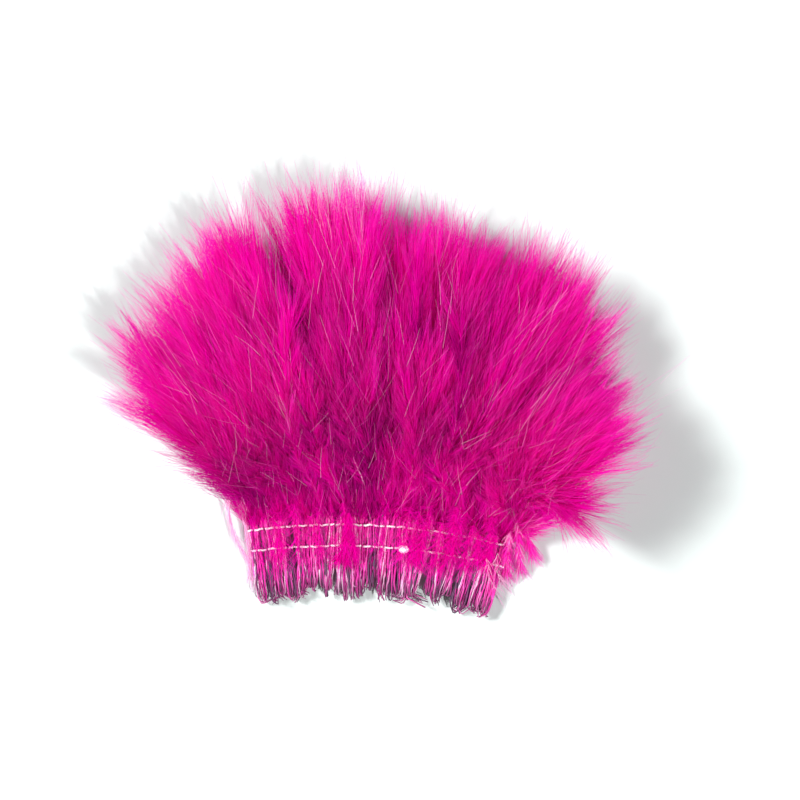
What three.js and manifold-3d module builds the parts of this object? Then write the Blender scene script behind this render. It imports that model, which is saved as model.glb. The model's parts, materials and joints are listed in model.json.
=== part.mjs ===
// A bunch of strung marabou feathers: short dyed plumes, sewn side by side across their quills with
// two rows of thread. It lies on a table. Millimetres: X runs across the sewn band, Y from the quill
// ends to the plume tips and Z up, and the origin is under the middle of the bunch, on the table.

import * as THREE from 'three';
import { mergeVertices } from 'three/addons/utils/BufferGeometryUtils.js';
import Module from 'manifold-3d';

const wasm = await Module();
wasm.setup();

// The bunch: tufts that fold on the thread between them, each with two columns of two feathers,
// one plume above the other.
const TUFT_COUNT = 6;
const COLUMNS_PER_TUFT = 2;

// Quills and thread. A quill narrows to the shaft that runs on inside its plume.
const QUILL_WIDTH = 1.84;
const QUILL_HEIGHT = 2.2;
const SHAFT_WIDTH = 1.2;
const SHAFT_HEIGHT = 1.4;
const SHAFT_TIP_WIDTH = 0.8;
const STUB_LENGTH = 14;
const THREAD_DIAMETER = 0.5;
const ROW_SPACING = 6;
const BAND_HEIGHT = 3.2;

// Clearances
const THREAD_CLEARANCE = 0.28;
const SHAFT_CLEARANCE = 0.4;
const HINGE_GAP = 0.4;
const PLUME_GAP = 0.5;

// The band is a shallow arch. Its quills lean outwards a little and its plumes fan out a lot.
const ARCH_HEIGHT = 3.7;
const BAND_SLOPE = 0.06;
const MIDDLE_LEAN = THREE.MathUtils.degToRad(4);
const QUILL_LEAN = THREE.MathUtils.degToRad(15);
const PLUME_LEAN = THREE.MathUtils.degToRad(56);
const BEND_LENGTH = 38;

// Plume lengths, from the upper row of thread to the tip, with a dip between the two lobes.
const TOP_LENGTH = 97;
const LEFT_LENGTH = 66;
const RIGHT_LENGTH = 54;
const LENGTH_CURVE = 2.5;
const CLEFT_DEPTH = 8;
const CLEFT_PLACE = 7;
const CLEFT_WIDTH = 6;
const BARE_SHAFT = 3;

// Shares of a plume's length: where a lower and an upper plume part from side by side to one above
// the other, where they reach full height, where the shaft ends and where the tip rounds off.
const SIDE_BY_SIDE_SHARE = 0.1;
const FULL_HEIGHT_SHARE = 0.42;
const SHAFT_SHARE = 0.6;
const OUTER_SHARES = [0, SIDE_BY_SIDE_SHARE, 0.2, 0.32, 0.46, SHAFT_SHARE, 0.76, 0.9, 0.97];
const BORE_SHARES = OUTER_SHARES.filter((share) => share <= SHAFT_SHARE);

// The two layers of plumes: their middle heights, how far their tips droop, and how far two tufts
// can fold upwards before their plumes meet.
const LOWER_LAYER = 9;
const UPPER_LAYER = 30;
const LOWER_DROOP = 2;
const UPPER_DROOP = 8;
const PLUME_BASE_HEIGHT = 3.2;
const FOLD_UP = THREE.MathUtils.degToRad(16);

// Faces round a plume or quill and round the thread, and steps along a bend
const SIDES = 8;
const THREAD_SIDES = 4;
const BEND_STEPS = 40;

const QUILL_PITCH = QUILL_WIDTH + THREAD_DIAMETER + 2 * THREAD_CLEARANCE;
const COLUMN_PITCH = 2 * QUILL_PITCH;
const TUFT_PITCH = COLUMNS_PER_TUFT * COLUMN_PITCH + THREAD_DIAMETER + HINGE_GAP;
const BAND_HALF = (TUFT_COUNT * TUFT_PITCH) / 2;
const LAYER_RISE = UPPER_LAYER - LOWER_LAYER;

const plumeMaterial = new THREE.MeshStandardMaterial({ color: 0xd30785, roughness: 0.9, metalness: 0 });
const quillMaterial = new THREE.MeshStandardMaterial({ color: 0xc84c92, roughness: 0.45, metalness: 0 });
const threadMaterial = new THREE.MeshStandardMaterial({ color: 0xf2eaf0, roughness: 0.6, metalness: 0 });

const { smoothstep } = THREE.MathUtils;

// Angle from +Y of a feather that leaves the band at a place across it, s past the upper row.
function heading(across, s) {
  const side = across / BAND_HALF;
  const bend = smoothstep(s, 0, BEND_LENGTH);
  return MIDDLE_LEAN + side * (QUILL_LEAN + (PLUME_LEAN - QUILL_LEAN) * bend);
}

// A point given by its place across the band, its distance past the upper row and its height.
function place(across, s, height) {
  const side = across / BAND_HALF;
  const straight = Math.min(s, 0);
  const step = Math.max(s, 0) / BEND_STEPS;
  let x = across + straight * Math.sin(heading(across, 0));
  let y = -ARCH_HEIGHT * side * side - BAND_SLOPE * across + straight * Math.cos(heading(across, 0));
  for (let i = 0; i < BEND_STEPS; i++) {
    x += step * Math.sin(heading(across, (i + 0.5) * step));
    y += step * Math.cos(heading(across, (i + 0.5) * step));
  }
  return new THREE.Vector3(x, y, height);
}

// Half the width of a column of feathers, s past the upper row.
function columnHalf(column, s) {
  return place(column - QUILL_PITCH, s, 0).distanceTo(place(column + QUILL_PITCH, s, 0)) / 2;
}

function plumeLength(column) {
  const end = column < 0 ? LEFT_LENGTH : RIGHT_LENGTH;
  const shorter = (TOP_LENGTH - end) * Math.abs(column / BAND_HALF) ** LENGTH_CURVE;
  const cleft = CLEFT_DEPTH * Math.exp(-(((column - CLEFT_PLACE) / CLEFT_WIDTH) ** 2));
  return TOP_LENGTH - shorter - cleft;
}

// A closed body of revolution, each of whose stations is then carried to its place by
// carry(station, sideways, upwards), where the last two are the sine and cosine round it.
function turned(stations, sides, carry) {
  const profile = stations.map(({ radius, along }) => new THREE.Vector2(radius, along));
  const geometry = new THREE.LatheGeometry(profile, sides);
  const position = geometry.getAttribute('position');
  for (let side = 0; side <= sides; side++) {
    const angle = (((side % sides) + 0.5) * 2 * Math.PI) / sides;
    stations.forEach((station, j) => {
      const point = carry(station, Math.sin(angle), Math.cos(angle));
      position.setXYZ(side * stations.length + j, point.x, point.y, point.z);
    });
  }
  geometry.computeVertexNormals();
  return geometry;
}

// One feather: its column across the band, its layer (0 lower, 1 upper) and the side on which its
// column meets the next tuft (-1 left, 1 right).
function feather(column, layer, foldSide) {
  const length = plumeLength(column);
  const ownSide = layer === 0 ? -1 : 1;

  const along = (share) => BARE_SHAFT + share * (length - BARE_SHAFT);
  const rise = (share) => smoothstep(share, 0, FULL_HEIGHT_SHARE);

  function middleHeight(share) {
    const full = layer === 0 ? LOWER_LAYER : UPPER_LAYER;
    const droop = layer === 0 ? LOWER_DROOP : UPPER_DROOP;
    return BAND_HEIGHT + (full - BAND_HEIGHT) * rise(share) - droop * smoothstep(share, SHAFT_SHARE, 1);
  }

  // The plume's left and right edges, from the column's middle line. It takes its own half of the
  // column while the two plumes lie side by side, and leaves room where the tufts fold together.
  function edges(share) {
    const half = columnHalf(column, along(share));
    const foldRoom = (Math.max(middleHeight(share) - BAND_HEIGHT, 0) * Math.sin(FOLD_UP)) / 2;
    const reach = (side) => side * (half - PLUME_GAP / 2 - (side === foldSide ? foldRoom : 0));
    const halved = share <= SIDE_BY_SIDE_SHARE;
    const left = halved && ownSide > 0 ? PLUME_GAP / 2 : reach(-1);
    const right = halved && ownSide < 0 ? -PLUME_GAP / 2 : reach(1);
    return { middle: (left + right) / 2, halfWidth: (right - left) / 2 };
  }

  // How much of its full size the plume still has towards its blunt tip
  const tip = (share) => Math.sqrt(1 - (Math.max(share - SHAFT_SHARE, 0) / (1 - SHAFT_SHARE)) ** 3);

  function halfHeight(share) {
    return Math.max(PLUME_BASE_HEIGHT, LAYER_RISE * rise(share) - PLUME_GAP) / 2;
  }

  // Every station carries its distance past the upper row, its middle and its half sizes.
  function station(share, radius, halfWidth, halfUp) {
    const s = along(share);
    return { radius, along: s, middle: edges(share).middle, up: middleHeight(share), halfWidth, halfUp };
  }

  function plumeStation(share) {
    return station(share, 1, edges(share).halfWidth * tip(share), halfHeight(share) * tip(share));
  }

  function shaftStation(share, clearance) {
    const taper = Math.min(share / SHAFT_SHARE, 1);
    const width = SHAFT_WIDTH + (SHAFT_TIP_WIDTH - SHAFT_WIDTH) * taper;
    const height = (width * SHAFT_HEIGHT) / SHAFT_WIDTH;
    return station(share, 1, width / 2 + clearance, height / 2 + clearance);
  }

  function quillStation(s, radius) {
    const middle = (ownSide * columnHalf(column, s)) / 2;
    const halfWidth = QUILL_WIDTH / 2;
    return { radius, along: s, middle, up: BAND_HEIGHT, halfWidth, halfUp: QUILL_HEIGHT / 2 };
  }

  function carry({ radius, along: s, middle, up, halfWidth, halfUp }, sideways, upwards) {
    const offset = middle + radius * halfWidth * sideways;
    const across = column + (offset / columnHalf(column, s)) * QUILL_PITCH;
    return place(across, s, Math.max(up + radius * halfUp * upwards, 0));
  }

  const boreEnd = shaftStation(SHAFT_SHARE, SHAFT_CLEARANCE);
  const plumeTip = plumeStation(1);
  const plume = turned([
    { ...boreEnd, radius: 0 },
    ...BORE_SHARES.map((share) => shaftStation(share, SHAFT_CLEARANCE)).reverse(),
    ...OUTER_SHARES.map(plumeStation),
    { ...plumeTip, radius: 0 },
  ], SIDES, carry);

  const stubEnd = -ROW_SPACING - STUB_LENGTH;
  const pastRow = THREAD_DIAMETER + THREAD_CLEARANCE;
  const shaftShares = BORE_SHARES.slice(0, -1);
  const shaftEnd = shaftStation(SHAFT_SHARE - SHAFT_CLEARANCE / (length - BARE_SHAFT), 0);
  const quill = turned([
    quillStation(stubEnd, 0),
    quillStation(stubEnd, 1),
    quillStation(-ROW_SPACING - pastRow, 1),
    quillStation(pastRow, 1),
    ...shaftShares.map((share) => shaftStation(share, 0)),
    shaftEnd,
    { ...shaftEnd, radius: 0 },
  ], SIDES, carry);

  return { plume, quill };
}

// One loop of thread round the quill at a place across the band, in the row at s.
function threadLoop(across, s) {
  const centre = place(across, s, BAND_HEIGHT);
  const angle = heading(across, s);
  const sidewaysAxis = new THREE.Vector3(Math.cos(angle), -Math.sin(angle), 0);
  const forwardAxis = new THREE.Vector3(Math.sin(angle), Math.cos(angle), 0);
  const upAxis = new THREE.Vector3(0, 0, 1);
  const halfWidth = columnHalf(across, s) / 2 / Math.cos(Math.PI / SIDES);
  const halfUp = (QUILL_HEIGHT + THREAD_DIAMETER) / 2 / Math.cos(Math.PI / SIDES) + THREAD_CLEARANCE;
  const stations = Array.from({ length: THREAD_SIDES + 1 }, (_, i) => {
    const turn = ((i % THREAD_SIDES) * 2 * Math.PI) / THREAD_SIDES;
    const outwards = (THREAD_DIAMETER / 2) * Math.cos(turn);
    return { radius: 1 + outwards, along: (THREAD_DIAMETER / 2) * Math.sin(turn), outwards };
  });
  return turned(stations, SIDES, ({ along, outwards }, sideways, upwards) => centre.clone()
    .addScaledVector(sidewaysAxis, (halfWidth + outwards) * sideways)
    .addScaledVector(upAxis, (halfUp + outwards) * upwards)
    .addScaledVector(forwardAxis, along));
}

function solid(geometry) {
  const bare = geometry.clone();
  bare.deleteAttribute('normal');
  bare.deleteAttribute('uv');
  const merged = mergeVertices(bare, 1e-6);
  return new wasm.Manifold(new wasm.Mesh({
    numProp: 3,
    vertProperties: new Float32Array(merged.getAttribute('position').array),
    triVerts: new Uint32Array(merged.index.array),
  }));
}

// The loops of one tuft in one row, joined where two neighbours interlock.
function stitches(acrossList, s) {
  const joined = acrossList.map((across) => solid(threadLoop(across, s))).reduce((a, b) => a.add(b));
  const { vertProperties, triVerts } = joined.getMesh();
  const geometry = new THREE.BufferGeometry();
  geometry.setAttribute('position', new THREE.BufferAttribute(new Float32Array(vertProperties), 3));
  geometry.setIndex(new THREE.BufferAttribute(new Uint32Array(triVerts), 1));
  geometry.computeVertexNormals();
  return geometry;
}

const bunch = new THREE.Group();

function add(name, geometry, material) {
  const mesh = new THREE.Mesh(geometry, material);
  mesh.name = name;
  bunch.add(mesh);
}

const twoDigits = (number) => String(number).padStart(2, '0');

for (let tuft = 0; tuft < TUFT_COUNT; tuft++) {
  const tuftMiddle = (tuft - (TUFT_COUNT - 1) / 2) * TUFT_PITCH;
  const quills = [];
  for (let i = 0; i < COLUMNS_PER_TUFT; i++) {
    const column = tuftMiddle + (i - (COLUMNS_PER_TUFT - 1) / 2) * COLUMN_PITCH;
    const foldSide = i === 0 ? -1 : 1;
    for (const layer of [0, 1]) {
      const number = twoDigits(2 * (tuft * COLUMNS_PER_TUFT + i) + layer + 1);
      const { plume, quill } = feather(column, layer, foldSide);
      add(`plume_${number}`, plume, plumeMaterial);
      add(`quill_${number}`, quill, quillMaterial);
      quills.push(column + (layer - 0.5) * QUILL_PITCH);
    }
  }
  add(`upper_stitch_${tuft + 1}`, stitches(quills, 0), threadMaterial);
  add(`lower_stitch_${tuft + 1}`, stitches(quills, -ROW_SPACING), threadMaterial);
}

const box = new THREE.Box3().setFromObject(bunch);
const middle = box.getCenter(new THREE.Vector3());
bunch.position.set(-middle.x, -middle.y, -box.min.z);

export default bunch;
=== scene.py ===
# %% [markdown]
# # A bunch of strung marabou feathers
#
# Marabou is soft down on thin quills. For boas, cuffs and costume trim it is strung: a machine
# sews two rows of thread across the quills of many feathers, so that the plumes fan out on one
# side and the bare quill ends stand out on the other. This lesson builds the looks of one short
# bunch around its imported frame, which already holds every size, place and joint.

# %% The frame and its box
import json
import math

import bmesh
import bpy
import numpy as np
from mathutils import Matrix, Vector

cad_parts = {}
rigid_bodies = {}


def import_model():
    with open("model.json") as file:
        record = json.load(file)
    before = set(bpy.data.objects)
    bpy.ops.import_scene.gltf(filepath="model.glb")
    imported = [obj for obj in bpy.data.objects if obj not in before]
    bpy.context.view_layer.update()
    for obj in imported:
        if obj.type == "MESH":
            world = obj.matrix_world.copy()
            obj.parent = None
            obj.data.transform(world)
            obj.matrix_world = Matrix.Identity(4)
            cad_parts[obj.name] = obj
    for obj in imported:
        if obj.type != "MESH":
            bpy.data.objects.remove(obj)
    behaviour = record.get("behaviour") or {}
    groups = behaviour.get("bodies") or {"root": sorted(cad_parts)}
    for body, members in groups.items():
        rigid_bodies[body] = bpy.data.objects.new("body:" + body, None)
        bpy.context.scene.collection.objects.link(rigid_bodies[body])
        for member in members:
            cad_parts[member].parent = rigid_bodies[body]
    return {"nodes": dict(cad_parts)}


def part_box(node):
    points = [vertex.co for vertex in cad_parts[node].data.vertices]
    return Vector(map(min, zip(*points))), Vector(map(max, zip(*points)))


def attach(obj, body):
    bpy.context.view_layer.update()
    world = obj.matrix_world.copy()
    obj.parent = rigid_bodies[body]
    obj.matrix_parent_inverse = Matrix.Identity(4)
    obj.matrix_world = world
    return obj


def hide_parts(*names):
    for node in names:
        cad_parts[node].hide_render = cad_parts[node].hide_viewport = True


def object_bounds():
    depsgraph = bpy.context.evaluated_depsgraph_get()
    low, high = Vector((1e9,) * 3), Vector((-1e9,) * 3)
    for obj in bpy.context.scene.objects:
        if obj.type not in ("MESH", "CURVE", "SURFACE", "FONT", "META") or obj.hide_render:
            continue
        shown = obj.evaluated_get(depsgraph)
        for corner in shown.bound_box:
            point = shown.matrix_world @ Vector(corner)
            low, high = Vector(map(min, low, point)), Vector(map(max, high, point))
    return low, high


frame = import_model()
cad_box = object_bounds()
low, high = (np.array(corner) for corner in cad_box)
MM = 0.001
print("box in mm:", (low / MM).round(1), (high / MM).round(1))

# %% [markdown]
# ## Writing nodes as expressions
#
# Every material and every Geometry Nodes tree below is worked out by arithmetic on sockets. One
# small class wraps a socket, so `1 - along` adds a Math node and `tangent * length` adds a Vector
# Math node, and one method adds any other node by its type, its settings and its inputs.

# %% Terms and trees
class Term:
    """A socket that can stand in a Python expression, as a number or as a vector."""

    def __init__(self, nodes, socket):
        self.nodes = nodes
        self.socket = socket
        self.is_vector = socket.type in ("VECTOR", "RGBA")

    def _join(self, operation, first, second):
        if not (is_vector(first) or is_vector(second)):
            return self.nodes.math(operation, {0: first, 1: second})
        if operation == "MULTIPLY" and not (is_vector(first) and is_vector(second)):
            vector, scale = (first, second) if is_vector(first) else (second, first)
            return self.nodes.vector_math("SCALE", {0: vector, "Scale": scale})
        return self.nodes.vector_math(operation, {0: first, 1: second})

    def __add__(self, other):
        return self._join("ADD", self, other)

    def __sub__(self, other):
        return self._join("SUBTRACT", self, other)

    def __rsub__(self, other):
        return self._join("SUBTRACT", other, self)

    def __mul__(self, other):
        return self._join("MULTIPLY", self, other)

    def __truediv__(self, other):
        return self._join("DIVIDE", self, other)

    def __pow__(self, other):
        return self._join("POWER", self, other)

    def call(self, operation, *others):
        """One more Math operation on numbers, such as SINE or MAXIMUM."""
        return self.nodes.math(operation, dict(enumerate((self,) + others)))

    def vector_call(self, operation, *others):
        """One more Vector Math operation, such as NORMALIZE or CROSS_PRODUCT."""
        return self.nodes.vector_math(operation, dict(enumerate((self,) + others)))


def is_vector(term):
    return isinstance(term, tuple) or (isinstance(term, Term) and term.is_vector)


class Nodes:
    """Adds nodes to one tree."""

    def __init__(self, tree):
        self.tree = tree

    def add(self, kind, settings=None, inputs=None):
        node = self.tree.nodes.new(kind)
        for name, value in (settings or {}).items():
            setattr(node, name, value)
        for key, value in (inputs or {}).items():
            if isinstance(key, int):
                socket = node.inputs[key]
            else:
                socket = next(s for s in node.inputs if s.name == key and s.enabled)
            if isinstance(value, Term):
                self.tree.links.new(value.socket, socket)
            elif value is not None:
                socket.default_value = value
        return node

    def out(self, node, key=0):
        """One output of a node. A name finds the output that is switched on."""
        if isinstance(key, int):
            live = [s for s in node.outputs if s.enabled]
            return Term(self, live[key])
        return Term(self, next(s for s in node.outputs if s.name == key and s.enabled))

    def math(self, operation, inputs):
        node = self.add("ShaderNodeMath", {"operation": operation}, inputs)
        return Term(self, node.outputs[0])

    def vector_math(self, operation, inputs):
        node = self.add("ShaderNodeVectorMath", {"operation": operation}, inputs)
        return self.out(node)

    def split(self, vector):
        node = self.add("ShaderNodeSeparateXYZ", None, {0: vector})
        return tuple(Term(self, socket) for socket in node.outputs)

    def combine(self, x, y, z):
        return self.out(self.add("ShaderNodeCombineXYZ", None, {0: x, 1: y, 2: z}))


def fresh_material(name):
    material = bpy.data.materials.new(name)
    material.use_nodes = True
    material.node_tree.nodes.clear()
    return material, Nodes(material.node_tree)


def fresh_tree(name, wanted):
    """A Geometry Nodes tree with a geometry in and out and the named inputs that are wanted."""
    tree = bpy.data.node_groups.new(name, "GeometryNodeTree")
    tree.is_modifier = True
    sockets = tree.interface
    sockets.new_socket("Geometry", in_out="INPUT", socket_type="NodeSocketGeometry")
    sockets.new_socket("Geometry", in_out="OUTPUT", socket_type="NodeSocketGeometry")
    for label, kind in wanted.items():
        sockets.new_socket(label, in_out="INPUT", socket_type="NodeSocket" + kind)
    nodes = Nodes(tree)
    entry = nodes.add("NodeGroupInput")
    given = {socket.name: Term(nodes, socket) for socket in entry.outputs if socket.name}
    return nodes, given


def close_tree(nodes, geometry, material):
    """Ends a tree with smooth faces, its material and the group's output."""
    smooth = nodes.out(nodes.add("GeometryNodeSetShadeSmooth", None, {"Geometry": geometry}))
    painted = nodes.add("GeometryNodeSetMaterial", None, {"Geometry": smooth, "Material": material})
    nodes.add("NodeGroupOutput", None, {0: nodes.out(painted)})
    return nodes.tree


def add_object(name, data):
    thing = bpy.data.objects.new(name, data)
    bpy.context.scene.collection.objects.link(thing)
    return thing


def grown(name, guide, tree, values):
    """Runs a tree on a guide mesh and returns the result as a plain mesh object of its own."""
    helper = add_object(name + "_guide", guide)
    modifier = helper.modifiers.new("grow", "NODES")
    modifier.node_group = tree
    for item in tree.interface.items_tree:
        if item.in_out == "INPUT" and item.name in values:
            modifier[item.identifier] = values[item.name]
    bpy.context.view_layer.update()
    evaluated = helper.evaluated_get(bpy.context.evaluated_depsgraph_get())
    mesh = bpy.data.meshes.new_from_object(evaluated)
    mesh.name = name
    helper.modifiers.clear()
    bpy.data.objects.remove(helper)
    bpy.data.meshes.remove(guide)
    return add_object(name, mesh)


def finish_piece(piece, body, slot, *nodes):
    """Puts a finished piece on its body, hides the solids it stands for and returns its number of
    triangles. The slot it is given is not used.
    """
    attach(piece, body)
    if nodes:
        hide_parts(*nodes)
    piece.data.calc_loop_triangles()
    return len(piece.data.loop_triangles)

# %% [markdown]
# ## Camera, floor and light
#
# The bunch lies on a plain white table and is looked at from straight above. A long lens keeps
# the perspective gentle. Two far lamps light it. One stands low right and is narrow, so the edge
# of the down throws a fringed shadow up and to the left. The other stands on the left and is wide,
# so the right side of the bunch lies in a soft shadow. A dim white room fills in the rest, and its
# walls are drawn full white where the camera looks past the table.

# %% Camera
VIEW_WIDTH = 224 * MM
LENS = 100.0
SENSOR = 36.0
CLIP_END = 20.0
VIEW_OFFSET = (6.2 * MM, -0.4 * MM)
EYE_HEIGHT = VIEW_WIDTH * LENS / SENSOR + (high[2] - low[2]) / 3


camera_data = bpy.data.cameras.new("camera")
camera_data.lens = LENS
camera_data.sensor_width = SENSOR
camera_data.clip_end = CLIP_END
camera = add_object("camera", camera_data)
camera.location = (VIEW_OFFSET[0], VIEW_OFFSET[1], EYE_HEIGHT)
bpy.context.scene.camera = camera
print("camera", round(EYE_HEIGHT, 3), "m above the table")

# %% Light and table
TABLE_SIZE = 60.0
TABLE_TINT = (0.66, 0.72, 0.705, 1.0)
TABLE_ROUGHNESS = 0.9
WHITE = (1.0, 1.0, 1.0, 1.0)
# Each lamp: the place it shines from, how wide it is in degrees, and its strength.
FRINGE_LIGHT = ((0.42, -0.38, 0.86), 3.0, 2.4)
SIDE_LIGHT = ((-0.64, 0.24, 0.70), 13.0, 3.8)
ROOM_LIGHT = 0.15


def far_lamp(name, place, degrees_wide, strength):
    """A lamp so far away that it lights the whole table evenly."""
    data = bpy.data.lights.new(name, "SUN")
    data.angle = math.radians(degrees_wide)
    data.energy = strength
    lamp = add_object(name, data)
    lamp.location = place
    lamp.rotation_euler = (-Vector(place)).to_track_quat("-Z", "Y").to_euler()


far_lamp("fringe_lamp", *FRINGE_LIGHT)
far_lamp("side_lamp", *SIDE_LIGHT)

world = bpy.data.worlds.new("white_room")
bpy.context.scene.world = world
world.use_nodes = True
world.node_tree.nodes.clear()
nodes = Nodes(world.node_tree)
room = nodes.add("ShaderNodeBackground", None, {"Color": WHITE, "Strength": ROOM_LIGHT})
wall = nodes.add("ShaderNodeBackground", None, {"Color": WHITE})
seen_directly = nodes.out(nodes.add("ShaderNodeLightPath"), "Is Camera Ray")
choice = nodes.add(
    "ShaderNodeMixShader", None, {0: seen_directly, 1: nodes.out(room), 2: nodes.out(wall)}
)
nodes.add("ShaderNodeOutputWorld", None, {0: nodes.out(choice)})
bpy.context.scene.view_settings.view_transform = "Standard"

bpy.ops.mesh.primitive_plane_add(size=TABLE_SIZE)
table = bpy.context.object
table.name = "table"
table_white, nodes = fresh_material("table_white")
surface = nodes.add(
    "ShaderNodeBsdfPrincipled", None, {"Base Color": TABLE_TINT, "Roughness": TABLE_ROUGHNESS}
)
nodes.add("ShaderNodeOutputMaterial", None, {0: nodes.out(surface)})
table.data.materials.append(table_white)

# %% [markdown]
# ## Reading the feathers out of the frame
#
# Each feather of the frame is two solids: a quill rod, and a plume with the rod's thin end inside
# it. Both are rows of eight-sided rings, closed by a point at each end. Walking over the edges
# from such a point meets one ring after another, and the rings' middles give the feather's own
# centre line, so everything that is grown later follows the frame even if its sizes change.

# %% Centre lines
SIDES = 8
FEATHERS = 24
FEATHERS_PER_TUFT = 4
QUILL_LEVELS = 4
PLUME_OUTSIDE_LEVELS = 10
STEPS_BETWEEN_POINTS = 12
rng = np.random.default_rng(7)


def walk_rings(node, start_near=None, start_far=None):
    """The middles of a solid's rings, from the end nearest to, or farthest from, a place."""
    solid = bmesh.new()
    solid.from_mesh(frame["nodes"][node].data)
    bmesh.ops.remove_doubles(solid, verts=solid.verts, dist=1e-6)
    ends = [v for v in solid.verts if len(v.link_edges) == SIDES]
    if start_near is not None:
        start = min(ends, key=lambda v: (v.co - Vector(start_near)).length)
    else:
        start = max(ends, key=lambda v: (v.co - Vector(start_far)).length)
    seen, ring, middles = {start}, {start}, []
    while ring:
        middles.append(np.mean([v.co[:] for v in ring], axis=0))
        ring = {e.other_vert(v) for v in ring for e in v.link_edges} - seen
        seen |= ring
    solid.free()
    return np.array(middles)


def smooth_line(points, count):
    """Evenly spaced points on a smooth curve through the given points."""
    points = np.asarray(points, float)
    ends = (2 * points[0] - points[1], 2 * points[-1] - points[-2])
    ring = np.vstack([ends[0], points, ends[1]])
    dense = []
    for a, b, c, d in zip(ring, ring[1:], ring[2:], ring[3:]):
        for t in np.linspace(0, 1, STEPS_BETWEEN_POINTS, endpoint=False):
            bend = (2 * a - 5 * b + 4 * c - d) * t**2 + (3 * b - a - 3 * c + d) * t**3
            dense.append(0.5 * (2 * b + (c - a) * t + bend))
    dense = np.array(dense + [points[-1]])
    run = np.concatenate([[0], np.cumsum(np.linalg.norm(np.diff(dense, axis=0), axis=1))])
    wanted = np.linspace(0, run[-1], count)
    return np.stack([np.interp(wanted, run, dense[:, axis]) for axis in range(3)], axis=1)


def directions(line):
    step = np.gradient(line, axis=0)
    return step / np.linalg.norm(step, axis=1, keepdims=True)


def sideways(line):
    side = np.cross(directions(line), (0.0, 0.0, 1.0))
    return side / np.linalg.norm(side, axis=1, keepdims=True)


def line_length(line):
    return float(np.linalg.norm(np.diff(line, axis=0), axis=1).sum())


LINE_POINTS = 60
centre_lines = {}
for number in range(1, FEATHERS + 1):
    quill_middles = walk_rings(f"quill_{number:02d}", start_near=(0.0, low[1], 0.0))
    plume_middles = walk_rings(f"plume_{number:02d}", start_far=(0.0, low[1], 0.0))
    outside = plume_middles[:PLUME_OUTSIDE_LEVELS][::-1]
    base_share = line_length(quill_middles[: QUILL_LEVELS + 1])
    whole = np.vstack([quill_middles[:QUILL_LEVELS], outside])
    line = smooth_line(whole, LINE_POINTS)
    centre_lines[number] = (line, base_share / line_length(line))
lengths = [line_length(line) / MM for line, _ in centre_lines.values()]
print("feather lengths in mm:", round(min(lengths)), "to", round(max(lengths)))


def tuft_of(number):
    return "tuft_" + str((number - 1) // FEATHERS_PER_TUFT + 1)


# %% [markdown]
# ## How down grows
#
# A marabou feather has a thin shaft, and hundreds of long soft barbs leave it on all sides. They
# start out at a wide angle, curl forward along the shaft, and gather into locks whose tips come
# together in a point. A hair system could do this, but its strands don't export as a mesh. So a
# Geometry Nodes tree places points along every shaft and stands a narrow ribbon on each. One
# random number per lock steers the ribbons that belong together, and one per ribbon lets each
# stray a little. The ribbon's own map carries what its colour depends on: how far along the barb
# a spot lies, and the tone of that barb.
# Barbs that point upward are given a lighter tone, which is painted top light.

# %% Geometry Nodes: the barbs
FULL_TURN = 2 * math.pi
RIBBON_STEPS = 5
FLOOR_SOFTNESS = 0.7 * MM
# How much a spot's place across a ribbon moves its tone, so that its map has some area.
TONE_WIDTH = 0.003
TONE_LIMITS = (0.01, 0.99)
# Chance differences between locks, and between the barbs of one lock, as shares.
LOCK_ANGLES = (0.7, 1.3)
LOCK_LENGTHS = (0.78, 1.12)
BARB_LENGTHS = (0.82, 1.06)
BARB_TONE_SHARE = 0.6
ANGLE_LOST_BY_SHAFT_END = 0.55
# Patterns in space: how fine each is.
SWIRL_SCALE = 55.0
LIGHT_AND_SHADE_PATCH_SCALE = 42.0
RIPPLE_SCALE = 160.0
RIPPLE_SIZE = 0.10
# The barbs of a lock part in its middle and nearly meet at its tip.
LOCK_BELLY = 2.2
LOCK_TIP_SPREAD = 0.10
TAPER_POWER = 0.8


def chance(nodes, kind, identity, seed, least, most):
    node = nodes.add(
        "FunctionNodeRandomValue",
        {"data_type": kind},
        {"Min": least, "Max": most, "ID": identity, "Seed": seed},
    )
    return nodes.out(node)


def random_number(nodes, identity, seed, least, most):
    return chance(nodes, "FLOAT", identity, seed, least, most)


def random_vector(nodes, identity, seed):
    """A place in the cube that reaches one unit to every side."""
    return chance(nodes, "FLOAT_VECTOR", identity, seed, (-1.0,) * 3, (1.0,) * 3)


def noise_vector(nodes, place, scale, detail=1.0):
    node = nodes.add("ShaderNodeTexNoise", None, {"Vector": place, "Scale": scale, "Detail": detail})
    return nodes.out(node, "Color") - (0.5, 0.5, 0.5)


def named_number(nodes, name):
    node = nodes.add("GeometryNodeInputNamedAttribute", {"data_type": "FLOAT"}, {"Name": name})
    return nodes.out(node, "Attribute")


def captured(nodes, geometry, fields):
    """Keeps the value of each field on its geometry. Returns the geometry and the kept fields."""
    node = nodes.add("GeometryNodeCaptureAttribute", {"domain": "POINT"}, {"Geometry": geometry})
    kept = {}
    for name, term in fields.items():
        node.capture_items.new("VECTOR" if term.is_vector else "FLOAT", name)
        nodes.tree.links.new(term.socket, node.inputs[name])
        kept[name] = Term(nodes, node.outputs[name])
    return Term(nodes, node.outputs["Geometry"]), kept


def mixed(first, second, share):
    return first + (second - first) * share


def above_floor(nodes, place):
    """Bends whatever would sink through the table smoothly up onto it."""
    x, y, z = nodes.split(place)
    lifted = (z + (z * z + 4 * FLOOR_SOFTNESS**2).call("SQRT")) * 0.5
    return nodes.combine(x, y, lifted)


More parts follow.
